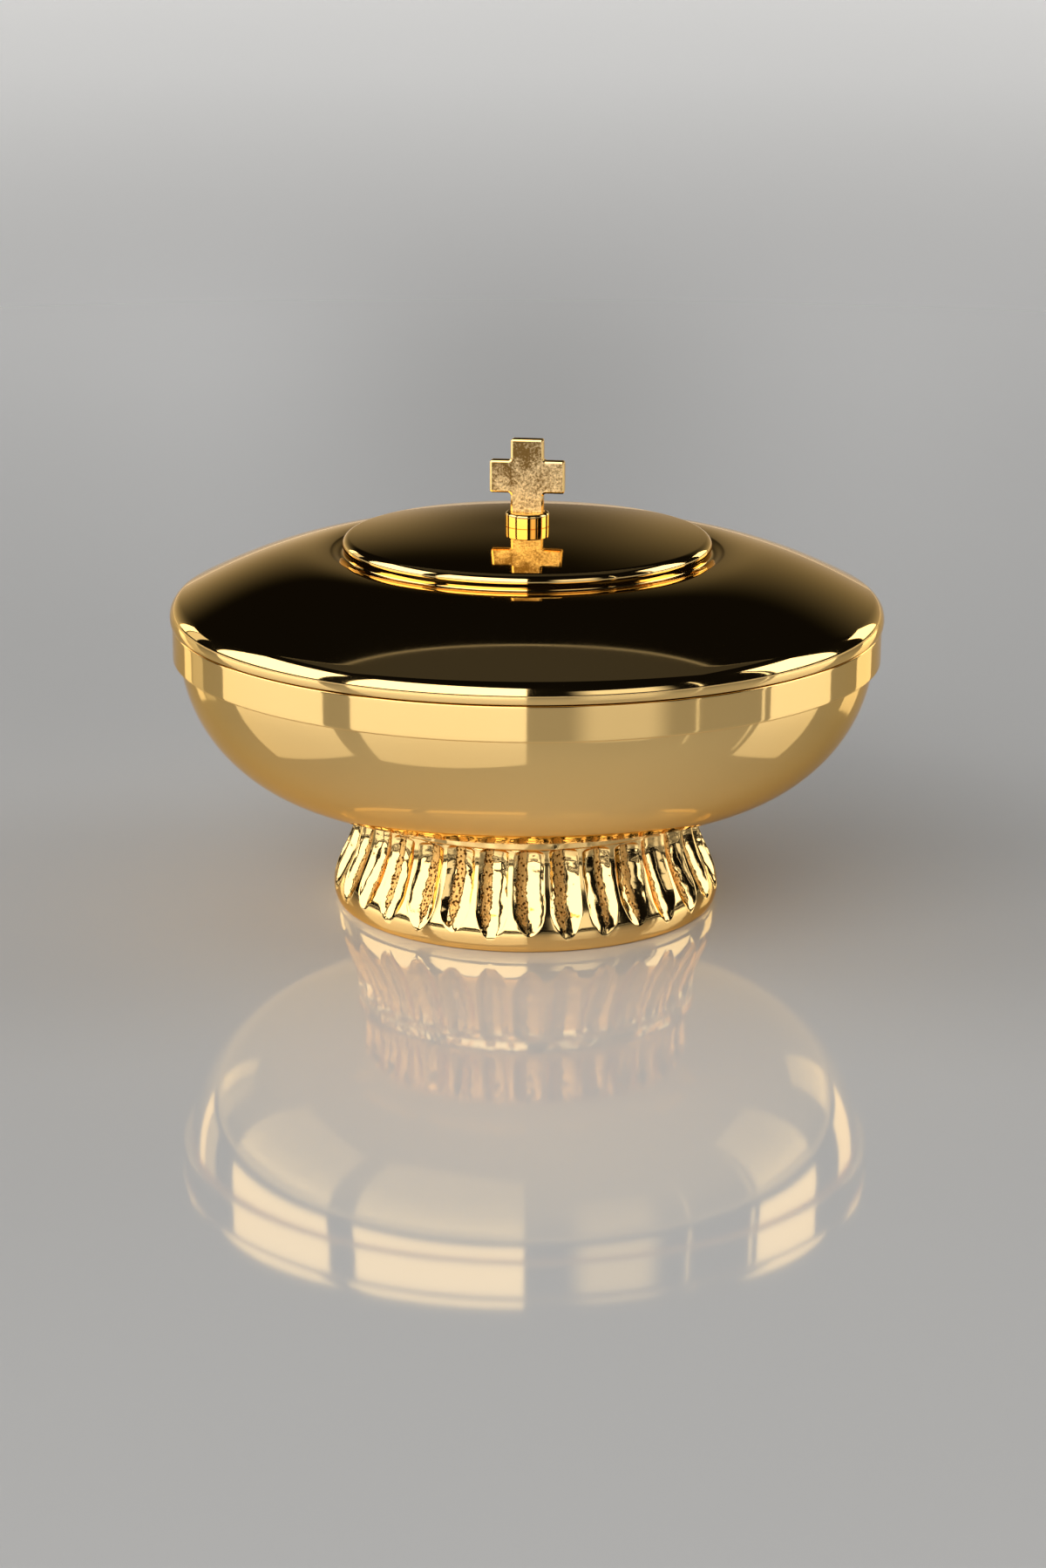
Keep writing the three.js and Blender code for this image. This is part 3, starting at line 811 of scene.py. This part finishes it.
def pale_floor():
    """Level floor far wider than the view, glossy round the object and matt far from it.

    Far out, where the lights don't reach, it glows a little, and only as seen directly or in metal or glass.
    """
    half = 14000.0
    corners = np.array([(-1, -1, 0), (1, -1, 0), (1, 1, 0), (-1, 1, 0)]) * half * MM
    mesh = bpy.data.meshes.new("floor")
    mesh.from_pydata(corners, [], [(0, 1, 2, 3)])
    floor = bpy.data.objects.new("floor", mesh)
    bpy.context.scene.collection.objects.link(floor)
    material, tree, shader, place = finish("pale_floor", (0.82, 0.81, 0.79, 1), 0.05, 0.0)
    shader["IOR"].default_value = 2.0
    shader["Emission Color"].default_value = (1, 0.985, 0.96, 1)
    distance = add(tree, "ShaderNodeVectorMath", {0: place}, operation="LENGTH").outputs["Value"]
    tree.links.new(ramp(tree, distance, 0.5, 2.6, 0.05, 1.0), shader["Roughness"])
    glow = ramp(tree, distance, 0.3, 4.2, 0.0, 0.36)
    path = tree.nodes.new("ShaderNodeLightPath").outputs
    seen = maths(tree, "MAXIMUM", path["Is Camera Ray"], path["Is Glossy Ray"])
    seen = maths(tree, "MAXIMUM", seen, path["Is Transmission Ray"])
    tree.links.new(maths(tree, "MULTIPLY", glow, seen), shader["Emission Strength"])
    mesh.materials.append(material)


def panel_light(name, width, height, radiance, fade=0.0, soft=0.001):
    """Soft panel. radiance is its brightness, where 1 is white.

    fade is the share of it that is lost on the way up, as 1 minus the square of what is left of the way, and
    soft the share of the width over which each side fades out.
    """
    light = bpy.data.lights.new(name, "AREA")
    light.shape = "RECTANGLE"
    light.size, light.size_y = width, height
    light.energy = math.pi * width * height
    light.use_nodes = True
    tree = light.node_tree
    place = tree.nodes.new("ShaderNodeNewGeometry").outputs["Parametric"]
    part = add(tree, "ShaderNodeSeparateXYZ", {"Vector": place}).outputs
    left_of_way = maths(tree, "POWER", maths(tree, "SUBTRACT", 1.0, part["Y"]), 2.0)
    upwards = ramp(tree, left_of_way, 0.0, 1.0, radiance * (1 - fade), radiance)
    from_left = ramp(tree, part["X"], 0.0, soft, shape="SMOOTHSTEP")
    from_right = ramp(tree, part["X"], 1.0, 1 - soft, shape="SMOOTHSTEP")
    sides = maths(tree, "MULTIPLY", from_left, from_right)
    strength = maths(tree, "MULTIPLY", upwards, sides)
    tree.links.new(strength, tree.nodes["Emission"].inputs["Strength"])
    panel = bpy.data.objects.new(name, light)
    bpy.context.scene.collection.objects.link(panel)
    return panel


def softbox(name, azimuth, span, low, high, radiance, **edges):
    """Upright soft panel on a circle of 5.5 m round the object, facing its middle.

    azimuth is its direction in degrees from the camera's side towards the right, span its width in
    degrees, and low and high its lower and upper edge in degrees above the floor.
    """
    distance = 5.5
    foot, head = distance * math.tan(math.radians(low)), distance * math.tan(math.radians(high))
    width = 2 * distance * math.tan(math.radians(span / 2))
    panel = panel_light(name, width, head - foot, radiance, **edges)
    outwards = Matrix.Translation((0, -distance, (foot + head) / 2))
    upright = Matrix.Rotation(math.radians(90), 4, "X")
    panel.matrix_world = Matrix.Rotation(math.radians(azimuth), 4, "Z") @ outwards @ upright


def ceiling(name, width, back, front, radiance, **edges):
    """Level soft panel 3 m overhead, from a rear edge behind the object's middle to a front edge."""
    panel = panel_light(name, width, back - front, radiance, **edges)
    panel.matrix_world = Matrix.Translation((0, (back + front) / 2, 3.0))
    return panel


def camera():
    """Camera at the photograph's place: 0.75 m in front, 0.24 m up, looking down by 16 degrees."""
    lens = bpy.data.cameras.new("camera")
    lens.lens, lens.sensor_width, lens.clip_end = 78.05, 36.0, 100.0
    eye = bpy.data.objects.new("camera", lens)
    bpy.context.scene.collection.objects.link(eye)
    tilt = Matrix.Rotation(math.radians(90 - 15.97), 4, "X") @ Matrix.Rotation(math.radians(0.259), 4, "Z")
    eye.matrix_world = Matrix.Translation((-0.00072, -0.750, 0.24083)) @ tilt
    bpy.context.scene.camera = eye


pale_floor()
softbox("softbox_front_left", -28.5, 57, 5, 46, 2.5)
softbox("softbox_left", -90, 46, 5, 42, 2.5)
softbox("softbox_right", 98, 30, 5, 40, 2.5)
softbox("edge_right", 80, 1.2, 5, 36, 2.0)
softbox("edge_far_right", 55, 1.0, 5, 30, 1.6)
softbox("fill_front_right", 30, 36, 5, 26, 1.1, soft=0.3)
softbox("strip_left", -140, 7, 3, 20, 2.5)
softbox("dim_strip_left", -131, 9, 3, 20, 0.9)
softbox("strip_right", 139, 15, 3, 22, 2.5)
softbox("glow_back_left", -159, 42, 0.0, 24, 0.6, fade=1.0, soft=0.18)
softbox("glow_back_right", 159, 42, 0.0, 32, 0.42, fade=1.0, soft=0.2)
softbox("glow_behind", 180, 22, 0.0, 26, 0.18, fade=1.0, soft=0.35)
ceiling("ceiling_panel", 4.4, 1.7, -0.4, 0.04)
ceiling("ceiling_edge", 4.4, 1.74, 1.62, 0.3)
ceiling("floor_light", 5.0, 2.5, -2.5, 0.42).visible_glossy = False
camera()

world = bpy.data.worlds.new("studio")
world.use_nodes = True
backdrop = world.node_tree.nodes["Background"].inputs
backdrop["Color"].default_value = (0.9, 0.87, 0.82, 1)
seen = world.node_tree.nodes.new("ShaderNodeLightPath").outputs["Is Camera Ray"]
world.node_tree.links.new(ramp(world.node_tree, seen, 0.0, 1.0, 0.005, 0.5), backdrop["Strength"])
bpy.context.scene.world = world
bpy.context.scene.view_settings.view_transform = "Standard"
